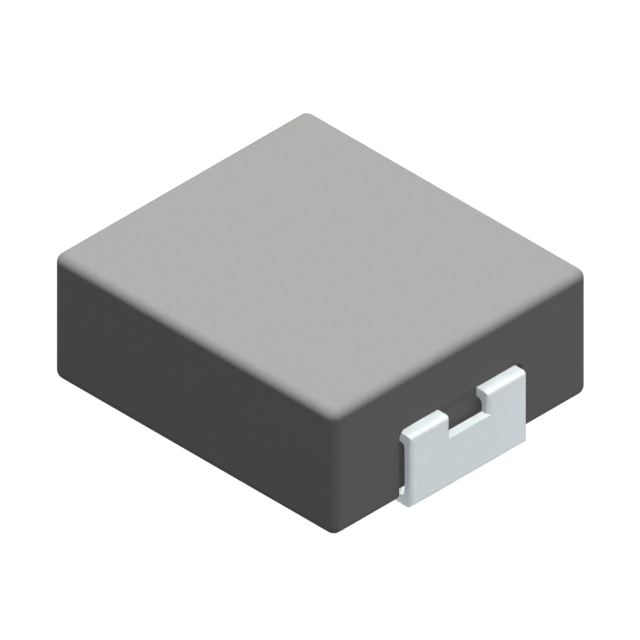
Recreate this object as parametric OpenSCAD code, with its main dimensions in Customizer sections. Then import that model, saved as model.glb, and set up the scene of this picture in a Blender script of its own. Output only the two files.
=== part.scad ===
// Shielded surface-mount power inductor: a flat-wire winding pressed into a block of iron-alloy
// powder, with a folded lead-frame terminal on each end.
// Frame: X runs from the left terminal to the right one, Y across, Z up. The origin is the middle
// of the footprint, on the plane of the undersides of the two feet. All sizes are in millimetres.

/* [Moulded body] */
// Length of the moulded body, between the two terminal sides
body_l = 7.3; // [7.1:0.1:9]
// Width of the moulded body
body_w = 6.6; // [6.2:0.1:8]
// Height of the moulded body
body_h = 2.8; // [2.6:0.1:4]
// Radius of the body's edges and corners
edge_r = 0.2; // [0.1:0.05:0.35]

/* [Terminals] */
// Width of each terminal strap
strap_w = 3.0; // [2.6:0.1:3.6]
// Thickness of the lead-frame strip
strap_t = 0.2; // [0.15:0.01:0.25]
// Outside radius of the strap's two folds
fold_r = 0.15; // [0.1:0.01:0.18]
// Inside radius of the strap's two folds
fold_inner_r = 0.1; // [0.05:0.01:0.14]
// Radius of the outer upright edges of the strap and its ears
upright_r = 0.1; // [0.05:0.01:0.14]
// How far the strap's outer face stands out from the body's side
strap_proud = 0.235; // [0.15:0.005:0.3]
// Height of the body's underside over the undersides of the feet
foot_drop = 0.1; // [0.05:0.01:0.15]
// Length of each foot, from the strap's outer face to its tip
foot_l = 1.6; // [1.2:0.1:2]
// Height of the strip's mid-plane, where it leaves the body, over the body's underside
lead_h = 1.385; // [1.25:0.005:1.5]
// Width of the notch between the strap's two ears
notch_w = 1.0; // [0.6:0.1:1.4]
// Height of the notch's sill over the body's underside
notch_h = 1.02; // [0.6:0.02:1.1]

/* [Recesses for the terminals] */
// Depth of each recess in the body's side
recess_d = 0.105; // [0.06:0.005:0.2]
// Radius of the recess's two upper corners
recess_r = 0.2; // [0.1:0.05:0.35]
// Radius of the edge between the recess in the side and the one in the underside
recess_edge_r = 0.15; // [0.1:0.05:0.25]
// Space between the strap's edges, or the foot's tip, and the walls of the recess
recess_gap = 0.1; // [0.05:0.01:0.2]
// Headroom between the strap's upper face and the rim of the recess
recess_head = 0.125; // [0.05:0.005:0.2]

/* [Winding] */
// Whole turns of the winding
turns = 4; // [3:1:5]
// Inside diameter of the winding
winding_inner_d = 2.3; // [1.9:0.1:2.6]
// Width of the flat wire, which lies across the turns
wire_w = 0.95; // [0.7:0.05:1.1]
// Thickness of the flat wire
wire_t = 0.27; // [0.2:0.01:0.3]
// Radius of the flat wire's edges
wire_r = 0.06; // [0.03:0.01:0.09]
// Angle that each end of the wire turns in towards the middle of its terminal
lead_angle = 18; // [15:1:24]
// Length of the joggle that brings each end to the height of the lead frame
joggle_l = 0.55; // [0.45:0.05:0.7]
// Length of each end that is welded to the lead frame
weld_l = 0.35; // [0.25:0.05:0.45]
// Border of the weld pad before and beyond the welded length
pad_border = 0.1; // [0.05:0.01:0.15]

/* [Fits] */
// Film of enamel between neighbouring turns
turn_gap = 0.03; // [0.01:0.005:0.03]
// Film between the moulding and the enamelled wire
mould_gap = 0.02; // [0.018:0.001:0.03]
// Gap between a foot's upper face and the floor of its recess
seat_gap = 0.02; // [0.01:0.01:0.05]

/* [Hidden] */

// Number of sides of a full circle, and of one turn of the winding
round_sides = 48;
turn_sides = 40;
// Steps of each joggle, and of each rounded edge of the wire
joggle_steps = 8;
wire_edge_steps = 2;
// How far a cut runs past the face that it opens
over = 0.5;

// Planes and faces of the body and the terminals
body_z = foot_drop;
side_x = body_l / 2;
recess_x = side_x - recess_d;
recess_z = strap_t + seat_gap;
strap_x = side_x + strap_proud;
foot_x = strap_x - foot_l;
lead_z = body_z + lead_h;
lead_top = lead_z + strap_t / 2;
rim_z = lead_top + recess_head;
sill_z = body_z + notch_h;
ear_w = (strap_w - notch_w) / 2;

// The winding: its radii, the rise of a turn, and the angles at which the wire leaves it
inner_r = winding_inner_d / 2;
outer_r = inner_r + wire_w;
mean_r = inner_r + wire_w / 2;
pitch = wire_t + turn_gap;
last_angle = -90 + lead_angle;
first_angle = -90 - lead_angle;
turned = 360 * turns + last_angle - first_angle;
end_rise = pitch * turned / 720;
slope = pitch / (2 * PI * mean_r);

// The leads run straight on from the winding. A joggle starts where the lead is clear of the turns
weld_rise = (strap_t + wire_t) / 2;
joggle_s = sqrt(outer_r * outer_r - inner_r * inner_r) + mould_gap;
weld_s = joggle_s + joggle_l;
end_s = weld_s + weld_l;
pad_in = lead_xy(weld_s).x - pad_border;
pad_out = lead_xy(end_s).x + pad_border;

// The channels that hold the leads overlap the chamber of the turns by this much on every side
channel_gap = mould_gap * 1.5;
// Angle over which the chamber's floor and ceiling step down by one turn
ramp_angle = 3;

// Plan position of a point that lies s along the lead that leaves the last turn
function lead_xy(s) = [
    mean_r * cos(last_angle) - s * sin(last_angle),
    mean_r * sin(last_angle) + s * cos(last_angle)
];

// Smooth step from 0 to 1, level at both ends
function ease(t) = let (c = min(max(t, 0), 1)) c * c * (3 - 2 * c);

// Centre of the wire, s along the lead, measured from the middle height of the winding. The lead
// keeps the slope of the turns until it is clear of them, and then falls to the weld pad
function lead_point(s) =
    let (
        xy = lead_xy(s),
        top = end_rise + slope * min(s, joggle_s),
        fall = end_rise + slope * joggle_s - weld_rise
    )
    [xy.x, xy.y, top - fall * ease((s - joggle_s) / joggle_l)];

// Centre of the wire on the turns. The angle counts back from the last one
function turn_point(back) =
    [mean_r * cos(last_angle - back), mean_r * sin(last_angle - back), end_rise - pitch * back / 360];

// The other end of anything: half a turn about the Y axis
function other_end(points) = [for (i = [len(points) - 1:-1:0]) [-points[i].x, points[i].y, -points[i].z]];

// Places along a lead, from a start to its end, closer together in the joggle
function lead_path(start, end) = concat(
    [lead_point(start)],
    [for (i = [0:joggle_steps]) lead_point(joggle_s + joggle_l * i / joggle_steps)],
    [lead_point(end)]
);

// The last half of the wire: from the middle of the turns out to the welded end
half_steps = ceil(turned / 2 * turn_sides / 360);
half_wire = concat(
    [for (i = [half_steps:-1:0]) turn_point(turned / 2 * i / half_steps)],
    lead_path(joggle_s / 2, end_s)
);
wire_path = concat(other_end([for (i = [1:len(half_wire) - 1]) half_wire[i]]), half_wire);

// Outline of the flat wire with its rounded edges: across the wire, then up
function wire_section(w, t, r) = [
    for (corner = [0:3], step = [0:wire_edge_steps])
        let (
            turn = 90 * (corner + step / wire_edge_steps),
            middle = [(corner % 3 == 0 ? 1 : -1) * (w / 2 - r), (corner < 2 ? 1 : -1) * (t / 2 - r)]
        )
        middle + r * [cos(turn), sin(turn)]
];

// Direction of travel at a point of a path
function heading(path, i) =
    let (d = path[min(i + 1, len(path) - 1)] - path[max(i - 1, 0)]) d / norm(d);

// The section's points, set square to the path at one of its points
function ring_points(path, section, i) =
    let (
        along = heading(path, i),
        level = cross([0, 0, 1], along),
        across = level / norm(level),
        up = cross(along, across)
    )
    [for (p = section) path[i] + across * p.x + up * p.y];

// Two triangles for each side between neighbouring rings of points
function skin_faces(rings, sides, closed) = [
    for (i = [0:rings - (closed ? 1 : 2)], j = [0:sides - 1], half = [0, 1])
        let (
            a = i * sides + j,
            b = i * sides + (j + 1) % sides,
            c = (i + 1) % rings * sides + (j + 1) % sides,
            d = (i + 1) % rings * sides + j
        )
        half == 0 ? [a, d, c] : [a, c, b]
];

// A section carried along a path, with flat ends
module sweep(path, section) {
    sides = len(section);
    last = (len(path) - 1) * sides;
    polyhedron(
        points = [for (i = [0:len(path) - 1]) each ring_points(path, section, i)],
        faces = concat(
            skin_faces(len(path), sides, false),
            [[for (j = [0:sides - 1]) j]],
            [[for (j = [sides - 1:-1:0]) last + j]]
        )
    );
}

// A rectangle from the origin whose two right-hand corners are rounded
module tab_outline(size, r) {
    square([size.x - r, size.y]);
    translate([size.x - 2 * r, r]) square([2 * r, size.y - 2 * r]);
    for (y = [r, size.y - r]) translate([size.x - r, y]) circle(r, $fn = round_sides);
}

// Stands a plan outline up, so that its Y points up, and carries it along Y, centred
module across_y(width) {
    translate([0, width / 2, 0]) rotate([90, 0, 0]) linear_extrude(width) children();
}

// A block on the plane Z = 0 with all its edges and corners rounded. Its core, its four sides and
// its four corners meet on flat sections
module rounded_block(size, r) {
    core = [size.x - 2 * r, size.y - 2 * r];
    translate([-core.x / 2, -core.y / 2, 0]) cube([core.x, core.y, size.z]);
    for (turn = [0:3]) {
        reach = turn % 2 == 0 ? core : [core.y, core.x];
        rotate(90 * turn) {
            translate([reach.x / 2 - r, 0, 0]) across_y(reach.y) tab_outline([2 * r, size.z], r);
            translate([reach.x / 2, reach.y / 2, 0]) rotate_extrude(angle = 90, $fn = round_sides)
                intersection() {
                    translate([-r, 0]) tab_outline([2 * r, size.z], r);
                    square([r, size.z]);
                }
        }
    }
}

// The right-hand recess: it follows the strap down the side and the foot along the underside
module recess_cut() {
    start_x = foot_x - recess_gap;
    width = strap_w + 2 * recess_gap;
    depth = side_x + over - start_x;
    intersection() {
        translate([start_x, 0, rim_z]) rotate([0, 90, 0]) linear_extrude(depth) mirror([1, 0])
            translate([-rim_z - over, -width / 2]) tab_outline([rim_z + over, width], recess_r);
        across_y(width + 2 * over) difference() {
            translate([start_x, -over]) square([depth, rim_z + 2 * over]);
            translate([0, recess_z]) tab_outline([recess_x, rim_z + 2 * over], recess_edge_r);
        }
    }
}

// The slot of the strip's two ears and its weld pad. The moulding grips them with no gap
module lead_frame_slot() {
    difference() {
        translate([pad_in, -strap_w / 2, lead_z - strap_t / 2])
            cube([side_x - pad_in, strap_w, strap_t]);
        translate([pad_out, -notch_w / 2, lead_z - strap_t])
            cube([body_l, notch_w, 2 * strap_t]);
    }
}

// The ring-shaped chamber of the turns, whose floor and ceiling climb with the wire
module turns_chamber() {
    overlap = last_angle - first_angle;
    short_steps = ceil(overlap * turn_sides / 360);
    long_steps = turn_sides - short_steps;
    long_angle = 360 - overlap - 2 * ramp_angle;
    angles = concat(
        [for (i = [0:short_steps]) overlap * i / short_steps],
        [for (i = [0:long_steps]) overlap + ramp_angle + long_angle * i / long_steps]
    );
    room = wire_t / 2 + mould_gap;
    walls = [inner_r - mould_gap, outer_r + mould_gap];
    points = [
        for (a = angles)
            let (
                climb = pitch * (a > overlap ? a - 360 : a) / 360,
                top = end_rise - pitch * overlap / 360 + climb + room,
                base = -end_rise + pitch * a / 360 - room,
                out = [cos(first_angle + a), sin(first_angle + a)]
            )
            for (corner = [[walls[0], base], [walls[0], top], [walls[1], top], [walls[1], base]])
                [corner[0] * out.x, corner[0] * out.y, corner[1]]
    ];
    polyhedron(points = points, faces = skin_faces(len(angles), 4, true));
}

// The channel of the lead that leaves the last turn, from inside the chamber to past its weld
module lead_channel() {
    grown = [wire_w + 2 * channel_gap, wire_t + 2 * channel_gap] / 2;
    sweep(
        lead_path(-wire_t / 2, end_s + mould_gap),
        [grown, [-grown.x, grown.y], -grown, [grown.x, -grown.y]]
    );
}

// The pressed block of powder and resin, with its two recesses and the space of all it holds
module moulded_body() {
    color([0.27, 0.27, 0.26]) difference() {
        translate([0, 0, body_z]) rounded_block([body_l, body_w, body_h], edge_r);
        for (turn = [0, 180]) rotate(turn) {
            recess_cut();
            lead_frame_slot();
        }
        translate([0, 0, lead_z]) {
            turns_chamber();
            for (turn = [0, 180]) rotate([0, turn, 0]) lead_channel();
        }
    }
}

// One length of flat enamelled wire: the turns, the two leads and their joggled, welded ends
module winding() {
    color([0.72, 0.38, 0.16]) translate([0, 0, lead_z])
        sweep(wire_path, wire_section(wire_w, wire_t, wire_r));
}

// The strip as it is folded: foot, upright strap and the leg that enters the moulding
module folded_strip() {
    leg = strap_x - pad_in;
    inside = lead_top - 2 * strap_t;
    across_y(strap_w) difference() {
        translate([pad_in, 0]) tab_outline([leg, lead_top], fold_r);
        translate([pad_in - over, strap_t]) tab_outline([leg + over - strap_t, inside], fold_inner_r);
    }
    foot_rest = pad_in - foot_x;
    translate([foot_x, -strap_w / 2, 0]) cube([foot_rest + fold_r, strap_w, strap_t]);
}

// The strip's edges seen in plan: full width up to the notch's sill, two ears and a pad above it
module terminal_blank() {
    plan = [strap_x - foot_x, strap_w];
    translate([foot_x, -strap_w / 2, -over]) linear_extrude(sill_z + over) tab_outline(plan, upright_r);
    translate([0, 0, sill_z]) linear_extrude(lead_top - sill_z + over) {
        for (y = [-strap_w / 2, notch_w / 2]) translate([pad_in, y])
            tab_outline([strap_x - pad_in, ear_w], upright_r);
        translate([pad_in, -strap_w / 2]) square([pad_out - pad_in, strap_w]);
    }
}

// One tinned copper terminal, on the right-hand end
module terminal() {
    color([0.78, 0.8, 0.81]) intersection() {
        folded_strip();
        terminal_blank();
    }
}

module right_terminal() {
    terminal();
}

module left_terminal() {
    rotate(180) terminal();
}

moulded_body();
winding();
left_terminal();
right_terminal();
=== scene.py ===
"""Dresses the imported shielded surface-mount inductor and sets it in a plain white studio.

The moulded body, the two terminals and the winding are finer surfaces of the CAD nodes they replace,
worked out with numpy in millimetres at the places that the CAD gives, and cut by Boolean modifiers.
Each takes a procedural finish that reads Object coordinates, and everything rides on the one body.
"""

import sys
import logging
from collections.abc import Sequence
from dataclasses import dataclass
from enum import Enum
from math import cos, pi, radians, sin, sqrt

import bpy
import numpy as np
from mathutils import Matrix, Vector


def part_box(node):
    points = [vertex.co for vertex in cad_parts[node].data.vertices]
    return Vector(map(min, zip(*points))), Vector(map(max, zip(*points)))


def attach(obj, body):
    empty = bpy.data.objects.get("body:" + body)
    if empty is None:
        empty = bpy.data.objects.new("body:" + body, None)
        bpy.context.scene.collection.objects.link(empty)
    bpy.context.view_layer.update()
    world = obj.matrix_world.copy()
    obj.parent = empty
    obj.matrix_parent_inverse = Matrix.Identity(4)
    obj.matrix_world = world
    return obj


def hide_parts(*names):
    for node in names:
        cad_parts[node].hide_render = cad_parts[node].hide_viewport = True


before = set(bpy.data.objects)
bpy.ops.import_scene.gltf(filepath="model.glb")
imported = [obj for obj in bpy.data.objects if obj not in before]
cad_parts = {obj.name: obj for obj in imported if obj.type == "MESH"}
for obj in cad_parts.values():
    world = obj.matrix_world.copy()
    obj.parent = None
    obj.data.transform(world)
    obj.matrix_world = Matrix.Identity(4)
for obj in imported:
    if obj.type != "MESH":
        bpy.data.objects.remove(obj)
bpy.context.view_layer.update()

LOG = logging.getLogger("inductor")
BODY = "root"
MM = 0.001  # metres in a millimetre
PHOTO_SIDE = 640  # pixels
SAME_POINT = 1e-7  # millimetres, under which two points are one
MERGE_DIGITS = 6  # decimals of a millimetre to which merged points agree
MEAN_TONE = 0.5  # the mean of a noise, and of the tone that is made from it

Colour = tuple[float, float, float]
Pair = tuple[float, float]

WHITE: Colour = (1.0, 1.0, 1.0)
COOL_WHITE: Colour = (0.95, 0.94, 1.0)


class Axis(Enum):
    """The axis that a prism runs along: the two axes of its outline, and then its own."""

    X = (1, 2, 0)
    Y = (0, 2, 1)
    Z = (0, 1, 2)

    @property
    def hand(self) -> int:
        """Minus one where the three axes come in left-handed order."""
        return -1 if self is Axis.Y else 1


class Cut(Enum):
    """What a Boolean modifier does with its second shape."""

    KEEP_COMMON = "INTERSECT"
    TAKE_AWAY = "DIFFERENCE"


@dataclass(frozen=True)
class Shape:
    """A closed surface in millimetres: its points and the point numbers of each face."""

    points: np.ndarray
    faces: list[list[int]]

    def half_turn(self) -> "Shape":
        """The same shape turned by half a turn about the Z axis."""
        return Shape(self.points * (-1, -1, 1), self.faces)


def rounded_outline(corners: Sequence[Pair], radii: Sequence[float], steps: int = 12) -> np.ndarray:
    """Outline through corners that are rounded by arcs.

    With d the direction into a corner, n its left normal and T the angle turned there, the arc's
    centre is corner - d * r * tan(|T| / 2) + n * r * sign(T), and the arc runs through T about it.

    Args:
        corners: the corners in order.
        radii: the radius at each corner, zero where it stays sharp.
        steps: the number of chords in each arc.

    Returns:
        The outline's points, without repeats, as an array of shape (n, 2).
    """
    at = np.asarray(corners, float)
    radius = np.asarray(radii, float)[:, None]
    into = at - np.roll(at, 1, axis=0)
    into /= np.linalg.norm(into, axis=1, keepdims=True)
    out_of = np.roll(into, -1, axis=0)
    left = np.stack([-into[:, 1], into[:, 0]], axis=1)
    turned = np.arctan2(np.sum(left * out_of, axis=1), np.sum(into * out_of, axis=1))[:, None]
    side = np.sign(turned)
    centre = at - into * radius * np.tan(np.abs(turned) / 2) + left * radius * side
    swing = turned * np.linspace(0, 1, steps + 1)
    rays = -left[:, None] * (side * np.cos(swing))[..., None]
    rays = rays + into[:, None] * np.abs(np.sin(swing))[..., None]
    points = (centre[:, None] + radius[..., None] * rays).reshape(-1, 2)
    moved = np.linalg.norm(points - np.roll(points, 1, axis=0), axis=1)
    return points[moved > SAME_POINT]


def prism(outline: np.ndarray, axis: Axis, start: float, stop: float) -> Shape:
    """An outline carried straight along an axis, with flat ends.

    Args:
        outline: points of shape (n, 2), either way round, on the two axes that the axis names.
        axis: the axis that it runs along.
        start: the lower end along that axis.
        stop: the upper end along that axis.

    Returns:
        The closed prism.
    """
    following = np.roll(outline, -1, axis=0)
    area = np.sum(outline[:, 0] * following[:, 1] - outline[:, 1] * following[:, 0])
    if area * axis.hand < 0:
        outline = outline[::-1]
    count = len(outline)
    points = np.empty((2 * count, 3))
    first, second, along = axis.value
    points[:, first] = np.tile(outline[:, 0], 2)
    points[:, second] = np.tile(outline[:, 1], 2)
    points[:, along] = np.repeat([start, stop], count)
    low = np.arange(count)
    beside = np.roll(low, -1)
    sides = np.stack([low, beside, beside + count, low + count], axis=1)
    return Shape(points, [low[::-1].tolist(), (low + count).tolist(), *sides.tolist()])


def rounded_block(
    half: np.ndarray, centre: np.ndarray, radius: float, steps: int, margin: float
) -> Shape:
    """A block with rounded edges and corners.

    Each point of a grid on the sharp block's six faces goes to the nearest point of the core, which
    is the block less its radius, and from there one radius back towards the grid point. Grid lines
    near an edge lie at radius * tan(angle), so that the arcs have equal steps.

    Args:
        half: half the block's size on each axis.
        centre: the block's centre.
        radius: the radius of its edges.
        steps: the number of steps in half of each rounded edge.
        margin: the width of the strip of each flat face that borders a rounded edge.

    Returns:
        The closed block.
    """
    core = half - radius
    rise = radius * np.tan(np.linspace(0, pi / 4, steps + 1))
    stops = [np.concatenate([-c - rise[::-1], [-c + margin, c - margin], c + rise]) for c in core]
    points, faces, count = [], [], 0
    for axis in Axis:
        first, second, along = axis.value
        across, up = np.meshgrid(stops[first], stops[second], indexing="ij")
        number = np.arange(across.size).reshape(across.shape)
        quads = [number[:-1, :-1], number[1:, :-1], number[1:, 1:], number[:-1, 1:]]
        quads = np.stack(quads, axis=-1).reshape(-1, 4)
        for side in (-1, 1):
            grid = np.empty((across.size, 3))
            grid[:, first] = across.ravel()
            grid[:, second] = up.ravel()
            grid[:, along] = side * half[along]
            points.append(grid)
            faces.append(quads[:, ::side * axis.hand] + count)
            count += across.size
    grid = np.concatenate(points)
    inner = np.clip(grid, -core, core)
    ray = grid - inner
    surface = inner + radius * ray / np.linalg.norm(ray, axis=1, keepdims=True)
    place = surface.round(MERGE_DIGITS)
    _, kept, merged = np.unique(place, axis=0, return_index=True, return_inverse=True)
    return Shape(surface[kept] + centre, merged.ravel()[np.concatenate(faces)].tolist())


def sweep(path: np.ndarray, section: np.ndarray) -> Shape:
    """A section carried along a path, kept upright, with flat ends.

    At each point of the path, with t the unit tangent, the section's first axis is a = unit(z x t)
    and its second is b = t x a, so ring point = path + u * a + v * b.

    Args:
        path: the path's points, of shape (n, 3).
        section: points of shape (m, 2), in the order that turns from its first axis to its second.

    Returns:
        The closed surface.
    """
    along = np.gradient(path, axis=0)
    along /= np.linalg.norm(along, axis=1, keepdims=True)
    across = np.cross((0, 0, 1), along)
    across /= np.linalg.norm(across, axis=1, keepdims=True)
    up = np.cross(along, across)
    rings = path[:, None] + section[:, :1] * across[:, None] + section[:, 1:] * up[:, None]
    count = len(section)
    number = np.arange(len(path) * count).reshape(-1, count)
    beside = np.roll(number, -1, axis=1)
    sides = np.stack([number[:-1], beside[:-1], beside[1:], number[1:]], axis=-1).reshape(-1, 4)
    caps = [number[0, ::-1].tolist(), number[-1].tolist()]
    return Shape(rings.reshape(-1, 3), caps + sides.tolist())


class Bench:
    """Puts shapes together in millimetres, and hands out finished pieces in metres."""

    def __init__(self, collection: bpy.types.Collection) -> None:
        """Keeps the collection that pieces are linked to."""
        self.collection = collection

    def lay(self, name: str, shape: Shape) -> bpy.types.Object:
        """Puts a shape on the bench as an object.

        Args:
            name: the object's name.
            shape: the shape.

        Returns:
            The new object, linked, with its mesh in millimetres.
        """
        mesh = bpy.data.meshes.new(name)
        mesh.from_pydata(shape.points.tolist(), [], shape.faces)
        mesh.validate()
        item = bpy.data.objects.new(name, mesh)
        self.collection.objects.link(item)
        return item

    def settle(self, item: bpy.types.Object) -> None:
        """Replaces an object's mesh by what its modifiers make of it, and removes them."""
        graph = bpy.context.evaluated_depsgraph_get()
        made = bpy.data.meshes.new_from_object(item.evaluated_get(graph), depsgraph=graph)
        worn = item.data
        item.modifiers.clear()
        item.data = made
        bpy.data.meshes.remove(worn)

    def combine(self, item: bpy.types.Object, other: Shape, cut: Cut) -> None:
        """Intersects an object with a shape, or takes the shape away from it.

        Args:
            item: the object to change.
            other: the second shape.
            cut: what is done with it.
        """
        tool = self.lay("tool", other)
        modifier = item.modifiers.new("cut", "BOOLEAN")
        modifier.solver = "MANIFOLD"
        modifier.operation = cut.value
        modifier.object = tool
        self.settle(item)
        mesh = tool.data
        bpy.data.objects.remove(tool)
        bpy.data.meshes.remove(mesh)

    def pick_up(self, item: bpy.types.Object) -> Shape:
        """Takes an object off the bench again, as a shape."""
        points = np.empty(3 * len(item.data.vertices), np.float32)
        item.data.vertices.foreach_get("co", points)
        faces = [list(face.vertices) for face in item.data.polygons]
        mesh = item.data
        bpy.data.objects.remove(item)
        bpy.data.meshes.remove(mesh)
        return Shape(points.reshape(-1, 3).astype(float), faces)

    def finish(self, item: bpy.types.Object, name: str, crease: float) -> bpy.types.Object:
        """Smooths a piece up to its creases and brings it to metres.

        Args:
            item: the object, in millimetres.
            name: the name of the finished piece.
            crease: the angle in degrees past which an edge stays sharp.

        Returns:
            The same object, at the origin, unturned and unscaled.
        """
        mesh = item.data
        mesh.polygons.foreach_set("use_smooth", np.ones(len(mesh.polygons), bool))
        mesh.set_sharp_from_angle(angle=radians(crease))
        weighting = item.modifiers.new("flat faces stay flat", "WEIGHTED_NORMAL")
        weighting.mode = "FACE_AREA"
        weighting.weight = 100
        weighting.keep_sharp = True
        self.settle(item)
        item.data.transform(Matrix.Scale(MM, 4))
        item.name = name
        item.data.name = name
        return item


class Graph:
    """Adds nodes to one node tree and joins them."""

    def __init__(self, tree: bpy.types.NodeTree) -> None:
        """Keeps the tree and empties it."""
        self.tree = tree
        tree.nodes.clear()

    def add(self, kind: str, inputs: dict | None = None, **settings: object) -> bpy.types.Node:
        """Adds a node.

        Args:
            kind: the node's type.
            inputs: what each input, by name or number, is set to or, if it is a socket, joined to.
            settings: the node's own settings.

        Returns:
            The new node.
        """
        node = self.tree.nodes.new(kind)
        for name, value in settings.items():
            setattr(node, name, value)
        for name, value in (inputs or {}).items():
            if isinstance(value, bpy.types.NodeSocket):
                self.tree.links.new(value, node.inputs[name])
            else:
                node.inputs[name].default_value = value
        return node

    def math(self, operation: str, *inputs: object) -> bpy.types.NodeSocket:
        """Adds a Math node and returns its value."""
        node = self.add("ShaderNodeMath", dict(enumerate(inputs)), operation=operation)
        return node.outputs[0]

    def vector(self, operation: str, *inputs: object) -> bpy.types.NodeSocket:
        """Adds a Vector Math node and returns its vector."""
        node = self.add("ShaderNodeVectorMath", dict(enumerate(inputs)), operation=operation)
        return node.outputs[0]

    def effect(self, group: bpy.types.NodeTree, inputs: dict) -> bpy.types.Node:
        """Adds a node group with its inputs."""
        return self.add("ShaderNodeGroup", inputs, node_tree=group)

    def millimetres(self) -> bpy.types.NodeSocket:
        """The place on the piece, in millimetres."""
        place = self.add("ShaderNodeTexCoord").outputs["Object"]
        return self.add("ShaderNodeMapping", {"Vector": place, "Scale": (1 / MM,) * 3}).outputs[0]


def new_group(
    name: str, takes: dict[str, str], gives: Sequence[str]
) -> tuple[Graph, bpy.types.NodeOutputs, bpy.types.NodeInputs]:
    """Starts a shader node group.

    Args:
        name: the group's name.
        takes: the kind of socket of each named input, Float or Vector.
        gives: the names of its outputs, all of them values.

    Returns:
        The group's graph, its input sockets by name, and the sockets of its output node by name.
    """
    tree = bpy.data.node_groups.new(name, "ShaderNodeTree")
    for title, kind in takes.items():
        tree.interface.new_socket(title, in_out="INPUT", socket_type=f"NodeSocket{kind}")
    for title in gives:
        tree.interface.new_socket(title, in_out="OUTPUT", socket_type="NodeSocketFloat")
    graph = Graph(tree)
    given = graph.add("NodeGroupInput").outputs
    result = graph.add("NodeGroupOutput").inputs
    return graph, given, result


class Effects:
    """The node groups that the finishes share."""

    def __init__(self) -> None:
        """Builds each group once."""
        self.grain = self.build_grain()
        self.rounding = self.build_rounding()

    @staticmethod
    def build_grain() -> bpy.types.NodeTree:
        """Fine grain with faint patches.

        Tone is the mean tone, plus the grain noise less its mean by its contrast, plus the patch
        noise less its mean by its own contrast. Height is the grain noise alone.

        Returns:
            The node group.
        """
        takes = {
            "Place": "Vector",
            "Grain": "Float",
            "Patch": "Float",
            "Grain contrast": "Float",
            "Patch contrast": "Float",
        }
        graph, given, result = new_group("grain", takes, ["Tone", "Height"])
        tones = []
        for name, detail in (("Grain", 1.0), ("Patch", 3.0)):
            scale = graph.math("DIVIDE", 1.0, given[name])
            inputs = {"Vector": given["Place"], "Scale": scale, "Detail": detail}
            noise = graph.add("ShaderNodeTexNoise", inputs).outputs[0]
            centred = graph.math("SUBTRACT", noise, MEAN_TONE)
            tones.append((noise, graph.math("MULTIPLY", centred, given[f"{name} contrast"])))
        (height, grain), (_, patch) = tones
        total = graph.math("ADD", graph.math("ADD", grain, patch), MEAN_TONE)
        graph.tree.links.new(total, result["Tone"])
        graph.tree.links.new(height, result["Height"])
        return graph.tree

    @staticmethod
    def build_rounding() -> bpy.types.NodeTree:
        """Where a piece's outer box is rounded.

        With q the point's distance into the rounded border on each axis, over the radius, the mask
        is the second largest of the three by the square root of two: one along an edge's middle.

        Returns:
            The node group.
        """
        takes = {"Place": "Vector", "Centre": "Vector", "Flat half": "Vector", "Radius": "Float"}
        graph, given, result = new_group("rounding", takes, ["Mask"])
        away = graph.vector("ABSOLUTE", graph.vector("SUBTRACT", given["Place"], given["Centre"]))
        border = graph.vector("MAXIMUM", graph.vector("SUBTRACT", away, given["Flat half"]), (0, 0, 0))
        x, y, z = graph.add("ShaderNodeSeparateXYZ", {0: border}).outputs
        most = graph.math("MAXIMUM", x, graph.math("MAXIMUM", y, z))
        least = graph.math("MINIMUM", x, graph.math("MINIMUM", y, z))
        total = graph.math("ADD", x, graph.math("ADD", y, z))
        second = graph.math("SUBTRACT", graph.math("SUBTRACT", total, most), least)
        share = graph.math("DIVIDE", graph.math("MULTIPLY", second, sqrt(2)), given["Radius"])
        graph.tree.links.new(graph.math("MINIMUM", share, 1.0), result["Mask"])
        return graph.tree


@dataclass(frozen=True)
class RoundedBox:
    """The box round a piece whose edges are rounded, in millimetres."""

    centre: tuple[float, float, float]
    half: tuple[float, float, float]
    radius: float


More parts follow.
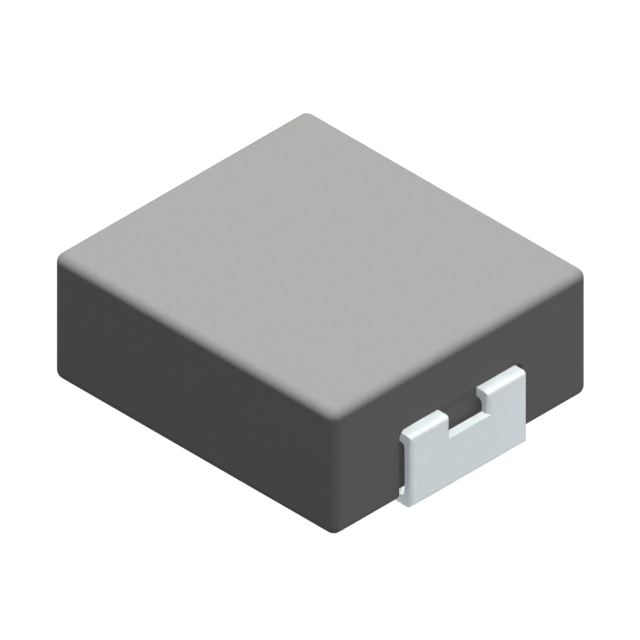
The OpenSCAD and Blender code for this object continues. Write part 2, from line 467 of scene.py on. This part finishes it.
@dataclass(frozen=True)
class Finish:
    """A finish whose colour, roughness and relief follow a fine grain and the rounded edges.

    Lengths are in millimetres. A contrast is the share by which the colour may change, and stretch
    is how many times shorter the grain is along each axis.
    """

    slot: str
    colour: Colour
    metallic: float
    roughness: float
    grain: float
    patch: float
    grain_contrast: float
    patch_contrast: float
    relief: float
    edge_brightening: float
    edge_polish: float
    specular: float = 0.5
    coat: float = 0.0
    coat_roughness: float = 0.1
    stretch: tuple[float, float, float] = (1.0, 1.0, 1.0)

    def material(self, effects: Effects, outside: RoundedBox) -> bpy.types.Material:
        """Makes the material for a piece.

        Args:
            effects: the shared node groups.
            outside: the box whose rounded edges are worn brighter and smoother.

        Returns:
            The material.
        """
        material = bpy.data.materials.new(self.slot)
        material.use_nodes = True
        graph = Graph(material.node_tree)
        place = graph.millimetres()
        grain = graph.effect(effects.grain, {
            "Place": graph.vector("MULTIPLY", place, self.stretch),
            "Grain": self.grain,
            "Patch": self.patch,
            "Grain contrast": self.grain_contrast,
            "Patch contrast": self.patch_contrast,
        })
        rounding = graph.effect(effects.rounding, {
            "Place": place,
            "Centre": outside.centre,
            "Flat half": tuple(h - outside.radius for h in outside.half),
            "Radius": outside.radius,
        })
        tone, mask = grain.outputs["Tone"], rounding.outputs["Mask"]
        brightened = graph.math("ADD", tone, graph.math("MULTIPLY", mask, self.edge_brightening))
        dark = (*((1 - MEAN_TONE) * c for c in self.colour), 1.0)
        light = (*((1 + MEAN_TONE) * c for c in self.colour), 1.0)
        colour = graph.add("ShaderNodeMix", {0: brightened, 6: dark, 7: light}, data_type="RGBA")
        polished = graph.math("SUBTRACT", tone, graph.math("MULTIPLY", mask, self.edge_polish))
        roughness = graph.math("ADD", polished, self.roughness - MEAN_TONE)
        height = grain.outputs["Height"]
        bump = graph.add("ShaderNodeBump", {"Distance": self.relief * MM, "Height": height})
        shader = graph.add("ShaderNodeBsdfPrincipled", {
            "Base Color": colour.outputs[2],
            "Metallic": self.metallic,
            "Roughness": roughness,
            "Normal": bump.outputs[0],
            "Specular IOR Level": self.specular,
            "Coat Weight": self.coat,
            "Coat Roughness": self.coat_roughness,
        })
        graph.add("ShaderNodeOutputMaterial", {"Surface": shader.outputs[0]})
        return material


MOULDING_COMPOUND = Finish(
    slot="moulding_compound",
    colour=(0.1285, 0.127, 0.124),
    metallic=0.0,
    roughness=0.8,
    grain=0.05,
    patch=0.9,
    grain_contrast=0.3,
    patch_contrast=0.05,
    relief=0.002,
    edge_brightening=0.04,
    edge_polish=0.1,
    specular=0.2,
)
TINNED_COPPER = Finish(
    slot="tinned_terminal",
    colour=(0.8, 0.866, 0.885),
    metallic=0.92,
    roughness=0.5,
    grain=0.06,
    patch=0.7,
    grain_contrast=0.12,
    patch_contrast=0.04,
    relief=0.0006,
    edge_brightening=0.02,
    edge_polish=0.08,
    stretch=(1.0, 4.0, 1.0),
)
ENAMELLED_COPPER = Finish(
    slot="enamelled_copper",
    colour=(0.72, 0.33, 0.13),
    metallic=1.0,
    roughness=0.35,
    grain=0.08,
    patch=0.8,
    grain_contrast=0.1,
    patch_contrast=0.15,
    relief=0.0008,
    edge_brightening=0.0,
    edge_polish=0.0,
    coat=0.6,
)


@dataclass(frozen=True)
class Winding:
    """One length of flat wire, edge-wound, whose two ends are joggled to the lead frame's height.

    The last half is worked out, and the first half is the same one turned by half a turn about Y.
    Sizes are in millimetres and angles in degrees, and heights are measured from the winding's
    middle. The moulding leaves one film round the turns and so many channel films round a lead.
    """

    middle: float = 1.485
    turns: int = 4
    inner: float = 1.15
    width: float = 0.95
    thickness: float = 0.27
    edge: float = 0.06
    pitch: float = 0.3
    lead_angle: float = 18.0
    joggle: float = 0.55
    weld: float = 0.35
    weld_rise: float = 0.235
    film: float = 0.02
    channel_films: float = 1.5
    border: float = 0.1
    ramp_angle: float = 3.0
    steps_a_turn: int = 96
    edge_steps: int = 5
    step: float = 0.03
    crease: float = 50.0

    @property
    def mean(self) -> float:
        """The radius of the wire's middle."""
        return self.inner + self.width / 2

    @property
    def outer(self) -> float:
        """The outside radius of the turns."""
        return self.inner + self.width

    @property
    def leaves(self) -> float:
        """The angle at which the wire leaves the last turn, in radians."""
        return radians(self.lead_angle - 90)

    @property
    def turned(self) -> float:
        """The angle that the wire turns through, in radians."""
        return radians(360 * self.turns + 2 * self.lead_angle)

    @property
    def end_rise(self) -> float:
        """How far the last turn ends over the winding's middle."""
        return self.pitch * self.turned / (4 * pi)

    @property
    def joggle_start(self) -> float:
        """Where the lead is clear of the turns, along it."""
        return sqrt(self.outer**2 - self.inner**2) + self.film

    @property
    def length(self) -> float:
        """The length of each lead."""
        return self.joggle_start + self.joggle + self.weld

    def lead(self, start: float, stop: float) -> np.ndarray:
        """The middle of the lead.

        At s along it, the plan point is mean * (cos A, sin A) + s * (-sin A, cos A), with A the
        angle at which it leaves. It keeps the slope of the turns up to the joggle, and then falls to
        the weld by c * c * (3 - 2 * c), with c the share of the joggle that lies behind it.

        Args:
            start: where it starts, along the lead.
            stop: where it ends.

        Returns:
            Points of shape (n, 3).
        """
        s = np.linspace(start, stop, round((stop - start) / self.step) + 1)
        slope = self.pitch / (2 * pi * self.mean)
        share = np.clip((s - self.joggle_start) / self.joggle, 0, 1)
        height = self.end_rise + slope * np.minimum(s, self.joggle_start)
        fall = self.end_rise + slope * self.joggle_start - self.weld_rise
        x = self.mean * cos(self.leaves) - s * sin(self.leaves)
        y = self.mean * sin(self.leaves) + s * cos(self.leaves)
        return np.stack([x, y, height - fall * share**2 * (3 - 2 * share)], axis=1)

    def path(self) -> np.ndarray:
        """The middle of the whole wire.

        On the turns, at the angle B counted back from the last one, the point is mean *
        (cos(A - B), sin(A - B)) in plan, at the end's height less pitch * B / (2 * pi).

        Returns:
            Points of shape (n, 3).
        """
        steps = round(self.turned / 2 * self.steps_a_turn / (2 * pi))
        back = np.linspace(self.turned / 2, 0, steps + 1)
        angle = self.leaves - back
        plan = self.mean * np.cos(angle), self.mean * np.sin(angle)
        turns = np.stack([*plan, self.end_rise - self.pitch * back / (2 * pi)], axis=1)
        half = np.concatenate([turns, self.lead(0, self.length)[1:]])
        return np.concatenate([half[:0:-1] * (-1, 1, -1), half])

    def wire(self) -> Shape:
        """The wire's surface: its rounded section carried along the whole path."""
        u, v = self.width / 2, self.thickness / 2
        corners = [(-u, -v), (u, -v), (u, v), (-u, v)]
        section = rounded_outline(corners, [self.edge] * len(corners), self.edge_steps)
        return self.raised(sweep(self.path(), section))

    def raised(self, shape: Shape) -> Shape:
        """A shape lifted from the winding's middle to its height in the part."""
        return Shape(shape.points + (0, 0, self.middle), shape.faces)

    def pad(self) -> Pair:
        """The inner and outer end of the weld pad, from the part's middle."""
        weld = self.lead(self.length - self.weld, self.length)[:, 0]
        return weld[0] - self.border, weld[-1] + self.border

    def rooms(self) -> list[Shape]:
        """The space that the moulding leaves: a ring for the turns and a channel for each lead.

        The ring's section is a rectangle round the wire at each angle. Its floor and its ceiling
        climb with the wire, and step down by one turn where the first turn starts.

        Returns:
            The three closed shapes.
        """
        overlap = radians(2 * self.lead_angle)
        ramp = radians(self.ramp_angle)
        steps = round(self.steps_a_turn * (1 - overlap / (2 * pi)))
        upper = np.linspace(overlap + ramp, 2 * pi - ramp, steps)
        angle = np.concatenate([np.linspace(0, overlap, self.steps_a_turn - steps), upper])
        turns = self.pitch / (2 * pi)
        room = self.thickness / 2 + self.film
        climb = turns * np.where(angle > overlap + ramp / 2, angle - 2 * pi, angle)
        top = self.end_rise - turns * overlap + climb + room
        base = turns * angle - self.end_rise - room
        radius = np.array([self.inner - self.film, self.outer + self.film])[[0, 1, 1, 0]]
        way = angle - pi - self.leaves
        x, y = (radius * wave(way)[:, None] for wave in (np.cos, np.sin))
        rings = np.stack([x, y, np.stack([base, base, top, top], axis=1)], axis=-1)
        number = np.arange(4 * len(angle)).reshape(-1, 4)
        beside, ahead = np.roll(number, -1, axis=1), np.roll(number, -1, axis=0)
        quads = np.stack([number, ahead, np.roll(ahead, -1, axis=1), beside], axis=-1)
        ring = Shape(rings.reshape(-1, 3), quads.reshape(-1, 4).tolist())
        gap = self.channel_films * self.film
        u, v = self.width / 2 + gap, self.thickness / 2 + gap
        section = np.array([(-u, -v), (u, -v), (u, v), (-u, v)])
        lead = sweep(self.lead(-self.thickness / 2, self.length + self.film), section)
        turned_over = Shape(lead.points * (-1, 1, -1), lead.faces)
        return [self.raised(shape) for shape in (ring, lead, turned_over)]

    def build(self, bench: Bench, effects: Effects) -> bpy.types.Object:
        """Makes the winding and dresses it."""
        item = bench.finish(bench.lay("wire", self.wire()), "fine_winding", self.crease)
        reach = (self.outer, self.outer, self.end_rise)
        outside = RoundedBox((0.0, 0.0, self.middle), reach, self.edge)
        dress(item, ENAMELLED_COPPER.material(effects, outside), "winding")
        return item


@dataclass(frozen=True)
class Terminal:
    """One folded strip: a foot, an upright strap with a notch, and two ears on a weld pad.

    Sizes are in millimetres, for the right-hand one. The shapes that only cut reach beyond the
    strip, and the moulding's slot is smaller than the ears by a bite on each side.
    """

    pad: Pair
    outer_face: float = 3.885
    foot_tip: float = 2.285
    half_width: float = 1.5
    thickness: float = 0.2
    fold: float = 0.15
    fold_inside: float = 0.1
    upright: float = 0.1
    top: float = 1.585
    sill: float = 1.12
    half_notch: float = 0.5
    slot_mouth: float = 3.635
    bite: float = 0.002
    beyond: float = 0.1
    crease: float = 12.0

    def strip(self) -> Shape:
        """The strip's profile, seen along Y, carried across a little more than its width."""
        inner_face = self.outer_face - self.thickness
        corners = [
            (self.foot_tip, 0.0),
            (self.outer_face, 0.0),
            (self.outer_face, self.top),
            (self.pad[0], self.top),
            (self.pad[0], self.top - self.thickness),
            (inner_face, self.top - self.thickness),
            (inner_face, self.thickness),
            (self.foot_tip, self.thickness),
        ]
        radii = [0, self.fold, self.fold, 0, 0, self.fold_inside, self.fold_inside, 0]
        reach = self.half_width + self.beyond
        return prism(rounded_outline(corners, radii), Axis.Y, -reach, reach)

    def blank(self) -> Shape:
        """The strip's plan, with its two outer corners rounded."""
        w = self.half_width
        back = self.foot_tip - self.beyond
        corners = [(back, -w), (self.outer_face, -w), (self.outer_face, w), (back, w)]
        outline = rounded_outline(corners, [0, self.upright, self.upright, 0])
        return prism(outline, Axis.Z, -self.beyond, self.top + self.beyond)

    def notch(self) -> Shape:
        """The window between the two ears, from the pad outward, flared by the ears' round edges."""
        h, wide = self.half_notch, self.half_notch + self.upright
        face, far = self.outer_face, self.outer_face + self.beyond
        low = [(self.pad[1], -h), (face, -h), (face, -wide), (far, -wide)]
        corners = low + [(x, -y) for x, y in reversed(low)]
        radii = [0, self.upright, 0, 0, 0, 0, self.upright, 0]
        outline = rounded_outline(corners, radii)
        return prism(outline, Axis.Z, self.sill, self.top + self.beyond)

    def slot(self) -> Shape:
        """The slot that the moulding leaves for the ears and the pad, open towards the recess."""
        w, h = self.half_width - self.bite, self.half_notch + self.bite
        start, mouth = self.pad[0], self.slot_mouth
        low = [(start, -w), (mouth, -w), (mouth, -h), (self.pad[1], -h)]
        corners = low + [(x, -y) for x, y in reversed(low)]
        outline = rounded_outline(corners, [0] * len(corners))
        floor = self.top - self.thickness + self.bite
        return prism(outline, Axis.Z, floor, self.top - self.bite)

    def build(self, bench: Bench, effects: Effects, name: str, half_turn: bool) -> bpy.types.Object:
        """Makes a terminal and dresses it.

        Args:
            bench: where it is put together.
            effects: the shared node groups.
            name: the CAD node that it replaces.
            half_turn: whether it is the one on the left.

        Returns:
            The finished piece.
        """
        shapes = [self.strip(), self.blank(), self.notch()]
        if half_turn:
            shapes = [shape.half_turn() for shape in shapes]
        item = bench.lay("strip", shapes[0])
        bench.combine(item, shapes[1], Cut.KEEP_COMMON)
        bench.combine(item, shapes[2], Cut.TAKE_AWAY)
        bench.finish(item, f"fine_{name}", self.crease)
        half = (self.outer_face, self.half_width, self.top / 2)
        outside = RoundedBox((0.0, 0.0, self.top / 2), half, self.fold)
        dress(item, TINNED_COPPER.material(effects, outside), name)
        return item


@dataclass(frozen=True)
class MouldedBody:
    """The pressed block, with a recess for each terminal and the space of what it holds.

    Sizes are in millimetres. The recess is what two prisms have in common. The first reaches beyond
    the block, and the second goes on past the first, so that no two of their faces lie together.
    """

    half: tuple[float, float, float] = (3.65, 3.3, 1.4)
    middle: float = 1.5
    radius: float = 0.2
    recess_floor: float = 3.545
    recess_roof: float = 0.22
    recess_start: float = 2.185
    rim: float = 1.71
    recess_half_width: float = 1.6
    recess_corner: float = 0.2
    recess_edge: float = 0.15
    arc_steps: int = 8
    margin: float = 0.06
    beyond: float = 0.3
    past: float = 0.1
    crease: float = 12.0

    @property
    def underside(self) -> float:
        """The height of the block's underside."""
        return self.middle - self.half[2]

    def block(self) -> Shape:
        """The whole block, before it is cut."""
        centre = np.array([0, 0, self.middle])
        return rounded_block(np.array(self.half), centre, self.radius, self.arc_steps, self.margin)

    def recess_profile(self) -> Shape:
        """What the right-hand recess takes away, seen along Y: all but a rounded step."""
        far, high = self.half[0] + self.beyond, self.rim + self.beyond
        low = self.underside - self.beyond
        corners = [
            (self.recess_start, low),
            (far, low),
            (far, high),
            (self.recess_floor, high),
            (self.recess_floor, self.recess_roof),
            (self.recess_start, self.recess_roof),
        ]
        reach = self.recess_half_width + self.beyond
        outline = rounded_outline(corners, [0, 0, 0, 0, self.recess_edge, 0])
        return prism(outline, Axis.Y, -reach, reach)

    def recess_outline(self) -> Shape:
        """The recess seen along X: as wide as the strap with its gaps, with two round corners."""
        w, low = self.recess_half_width, self.underside - self.beyond - self.past
        corners = [(-w, low), (w, low), (w, self.rim), (-w, self.rim)]
        outline = rounded_outline(corners, [0, 0, self.recess_corner, self.recess_corner])
        far = self.half[0] + self.beyond + self.past
        return prism(outline, Axis.X, self.recess_start - self.past, far)

    def build(self, bench: Bench, effects: Effects, held: list[Shape]) -> bpy.types.Object:
        """Makes the body and dresses it.

        Args:
            bench: where it is put together.
            effects: the shared node groups.
            held: the space of all that the moulding holds.

        Returns:
            The finished piece.
        """
        item = bench.lay("block", self.block())
        cutter = bench.lay("recess", self.recess_profile())
        bench.combine(cutter, self.recess_outline(), Cut.KEEP_COMMON)
        recess = bench.pick_up(cutter)
        for shape in (recess, recess.half_turn(), *held):
            bench.combine(item, shape, Cut.TAKE_AWAY)
        bench.finish(item, "fine_moulded_body", self.crease)
        outside = RoundedBox((0.0, 0.0, self.middle), self.half, self.radius)
        dress(item, MOULDING_COMPOUND.material(effects, outside), "moulded_body")
        return item


def dress(item: bpy.types.Object, material: bpy.types.Material, node: str) -> None:
    """Gives a piece its material and its body, hides the CAD node that it replaces, and reports it.

    Args:
        item: the finished piece.
        material: the material.
        node: the CAD node that the piece replaces.
    """
    item.data.materials.clear()
    item.data.materials.append(material)
    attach(item, BODY)
    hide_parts(node)
    points = np.empty(3 * len(item.data.vertices), np.float32)
    item.data.vertices.foreach_get("co", points)
    low, high = points.reshape(-1, 3).min(axis=0), points.reshape(-1, 3).max(axis=0)
    cad = np.array([list(corner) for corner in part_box(node)])
    off = np.abs(np.stack([low, high]) - cad).max() / MM
    LOG.info("%s: %d faces, box within %.4f mm of the CAD", item.name, len(item.data.polygons), off)


@dataclass(frozen=True)
class PhotoCamera:
    """A camera without perspective, as in the photo: equal angles to the three axes.

    Angles are in degrees. The aim is in millimetres: the photo's middle, seen from the middle of
    the body's underside, by so much to the right and up. The distance is in metres, and the clip
    span is how many times nearer and farther than the part the camera still sees.
    """

    azimuth: float = 45.0
    elevation: float = 35.264
    pixels_a_millimetre: float = 54.53
    underside: float = 0.1
    aim_right: float = -0.006
    aim_up: float = 1.2035
    distance: float = 0.06
    clip_span: float = 100.0

    def build(self) -> bpy.types.Object:
        """Makes the camera and gives it to the scene."""
        a, e = radians(self.azimuth), radians(self.elevation)
        back = Vector((sin(a) * cos(e), -cos(a) * cos(e), sin(e)))
        turned = back.to_track_quat("Z", "Y")
        right, up = turned @ Vector((1, 0, 0)), turned @ Vector((0, 1, 0))
        aim = Vector((0, 0, self.underside)) + self.aim_right * right + self.aim_up * up
        data = bpy.data.cameras.new("camera")
        data.type = "ORTHO"
        data.ortho_scale = PHOTO_SIDE / self.pixels_a_millimetre * MM
        data.clip_start = self.distance / self.clip_span
        data.clip_end = self.distance * self.clip_span
        camera = bpy.data.objects.new("camera", data)
        camera.location = aim * MM + back * self.distance
        camera.rotation_mode = "QUATERNION"
        camera.rotation_quaternion = turned
        bpy.context.scene.collection.objects.link(camera)
        bpy.context.scene.camera = camera
        return camera


@dataclass(frozen=True)
class Softbox:
    """A round soft light that faces the part, which the camera can't see.

    Its azimuth is counted from +X towards +Y and its elevation from the floor, in degrees, and
    lengths are in metres. It may cast no shadow, or stay out of reflections.
    """

    name: str
    azimuth: float
    elevation: float
    diameter: float
    watts: float
    tint: Colour = WHITE
    shadow: bool = True
    mirrored: bool = True
    distance: float = 0.1

    def build(self) -> bpy.types.Object:
        """Makes the light. Its rays end where they fall, so that the tones can be set one by one."""
        data = bpy.data.lights.new(self.name, "AREA")
        data.shape = "DISK"
        data.size = self.diameter
        data.energy = self.watts
        data.color = self.tint
        data.use_shadow = self.shadow
        data.cycles.use_multiple_importance_sampling = self.shadow
        data.cycles.max_bounces = 0
        light = bpy.data.objects.new(self.name, data)
        light.visible_camera = False
        light.visible_glossy = self.mirrored
        a, e = radians(self.azimuth), radians(self.elevation)
        back = Vector((cos(a) * cos(e), sin(a) * cos(e), sin(e)))
        light.location = back * self.distance
        light.rotation_mode = "QUATERNION"
        light.rotation_quaternion = back.to_track_quat("Z", "Y")
        bpy.context.scene.collection.objects.link(light)
        return light


@dataclass(frozen=True)
class Studio:
    """A plain white floor and room, with soft lights.

    The lights stand where the faces and folds that the photo shows would mirror them, and the two
    named matt, which nothing mirrors, set the tones of the dull body. Lengths are in metres. Levels
    are linear, and 1 is the white of the picture.
    """

    floor_side: float = 1.0
    floor_tone: float = 0.8
    ambient: float = 0.09
    mirrored: float = 0.18
    backdrop: float = 1.0
    floor_shadow: float = 0.05
    lights: tuple[Softbox, ...] = (
        Softbox("overhead_light", 0, 90, diameter=0.12, watts=0.1),
        Softbox("overhead_matt", 0, 90, diameter=0.05, watts=0.224, shadow=False, mirrored=False),
        Softbox("high_back", 135, 35, diameter=0.16, watts=0.054, shadow=False),
        Softbox("right_light", 45, 34, diameter=0.12, watts=0.016),
        Softbox("right_matt", 20, 15, diameter=0.12, watts=0.0165, mirrored=False),
        Softbox("low_right", 45, -35, diameter=0.16, watts=0.0385, shadow=False),
        Softbox("low_front", -45, -35, diameter=0.16, watts=0.031, shadow=False),
        Softbox("low_left", -135, -35, diameter=0.16, watts=0.0225, shadow=False, tint=COOL_WHITE),
    )

    def build(self) -> None:
        """Builds the floor, the world and the lights."""
        self.build_floor()
        self.build_world()
        for light in self.lights:
            light.build()
        bpy.context.scene.view_settings.view_transform = "Standard"

    def by_ray(self, graph: Graph, lit: float) -> bpy.types.NodeSocket:
        """A level that depends on what looks at it: the camera, a gloss, or anything else.

        Args:
            graph: the graph that it goes into.
            lit: the level for anything else.

        Returns:
            The socket with the level.
        """
        path = graph.add("ShaderNodeLightPath").outputs
        inner = graph.add("ShaderNodeMix", {0: path["Is Glossy Ray"], 2: lit, 3: self.mirrored})
        levels = {0: path["Is Camera Ray"], 2: inner.outputs[0], 3: self.backdrop}
        return graph.add("ShaderNodeMix", levels).outputs[0]

    def build_floor(self) -> bpy.types.Object:
        """Makes the floor: white to the camera but for a faint shadow, and clear from below."""
        s = self.floor_side / 2
        mesh = bpy.data.meshes.new("floor")
        mesh.from_pydata([(-s, -s, 0), (s, -s, 0), (s, s, 0), (-s, s, 0)], [], [(0, 1, 2, 3)])
        floor = bpy.data.objects.new("floor", mesh)
        bpy.context.scene.collection.objects.link(floor)
        material = bpy.data.materials.new("studio_floor")
        material.use_nodes = True
        graph = Graph(material.node_tree)
        glow = graph.add("ShaderNodeEmission", {"Strength": self.by_ray(graph, lit=0.0)})
        matt = graph.add("ShaderNodeBsdfDiffuse", {"Color": (*(self.floor_tone,) * 3, 1.0)})
        camera_ray = graph.add("ShaderNodeLightPath").outputs["Is Camera Ray"]
        share = graph.math("MULTIPLY", camera_ray, self.floor_shadow)
        shown = graph.add("ShaderNodeMixShader", {0: share, 1: glow.outputs[0], 2: matt.outputs[0]})
        below = graph.add("ShaderNodeNewGeometry").outputs["Backfacing"]
        clear = graph.add("ShaderNodeBsdfTransparent")
        both = graph.add("ShaderNodeMixShader", {0: below, 1: shown.outputs[0], 2: clear.outputs[0]})
        graph.add("ShaderNodeOutputMaterial", {"Surface": both.outputs[0]})
        mesh.materials.append(material)
        return floor

    def build_world(self) -> None:
        """Makes the room: white to the camera, pale in reflections, and a low ambient light."""
        world = bpy.data.worlds.new("studio")
        world.use_nodes = True
        graph = Graph(world.node_tree)
        level = self.by_ray(graph, lit=self.ambient)
        background = graph.add("ShaderNodeBackground", {"Strength": level, "Color": (*WHITE, 1.0)})
        graph.add("ShaderNodeOutputWorld", {"Surface": background.outputs[0]})
        bpy.context.scene.world = world


def main() -> None:
    """Builds the inductor piece by piece, and then the studio and the camera."""
    logging.basicConfig(level=logging.INFO, format="%(message)s", stream=sys.stdout)
    bench = Bench(bpy.context.scene.collection)
    effects = Effects()
    winding = Winding()
    terminal = Terminal(winding.pad())
    slot = terminal.slot()
    held = [slot, slot.half_turn(), *winding.rooms()]
    MouldedBody().build(bench, effects, held)
    terminal.build(bench, effects, "right_terminal", half_turn=False)
    terminal.build(bench, effects, "left_terminal", half_turn=True)
    winding.build(bench, effects)
    PhotoCamera().build()
    Studio().build()


if __name__ == "__main__":
    main()
